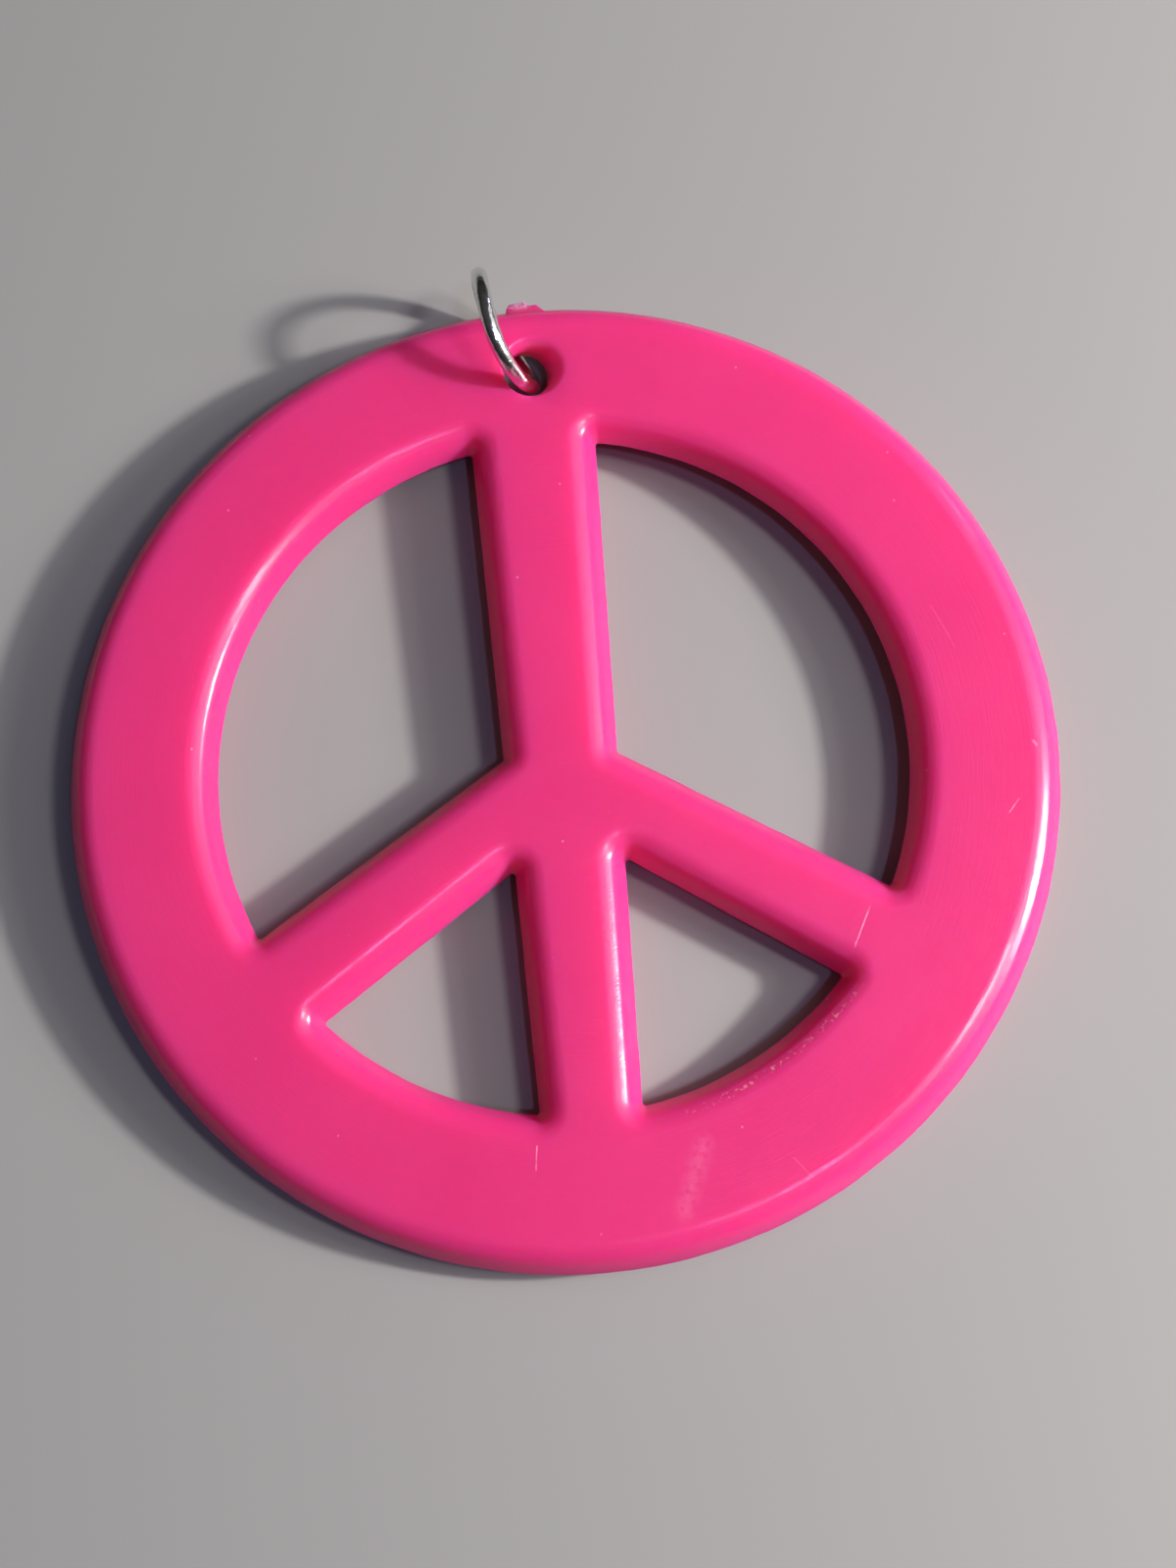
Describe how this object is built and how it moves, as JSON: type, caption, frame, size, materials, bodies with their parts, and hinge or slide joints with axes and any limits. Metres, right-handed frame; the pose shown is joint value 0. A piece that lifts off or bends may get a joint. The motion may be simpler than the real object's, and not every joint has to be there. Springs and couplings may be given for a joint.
{
  "type": "peace-symbol pendant with jump ring",
  "caption": "Flat round plastic pendant with a peace symbol cut through it, hung by a wire jump ring that passes through a hole in its rim and turns freely in it.",
  "frame": {"origin": "centre of the disc, on its flat back face", "axes": "+Z out of the front face, +Y from the centre towards the hanging hole and the jump ring, +X to the right when the front is seen with the ring at the top"},
  "size_m": [0.07, 0.0726, 0.0099],
  "materials": {
    "pink_plastic": "glossy hot-pink moulding",
    "plated_wire": "bright nickel-plated wire"
  },
  "bodies": {
    "pendant": {"pendant": "pink_plastic"},
    "jump_ring": {"jump_ring": "plated_wire"}
  },
  "joints": [
    {"name": "ring_turn", "type": "hinge", "parent": "pendant", "child": "jump_ring", "pos_m": [-0.0017, 0.0328, 0.00364], "axis": [0.9356, 0.3149, 0.1599], "continuous": true}
  ]
}
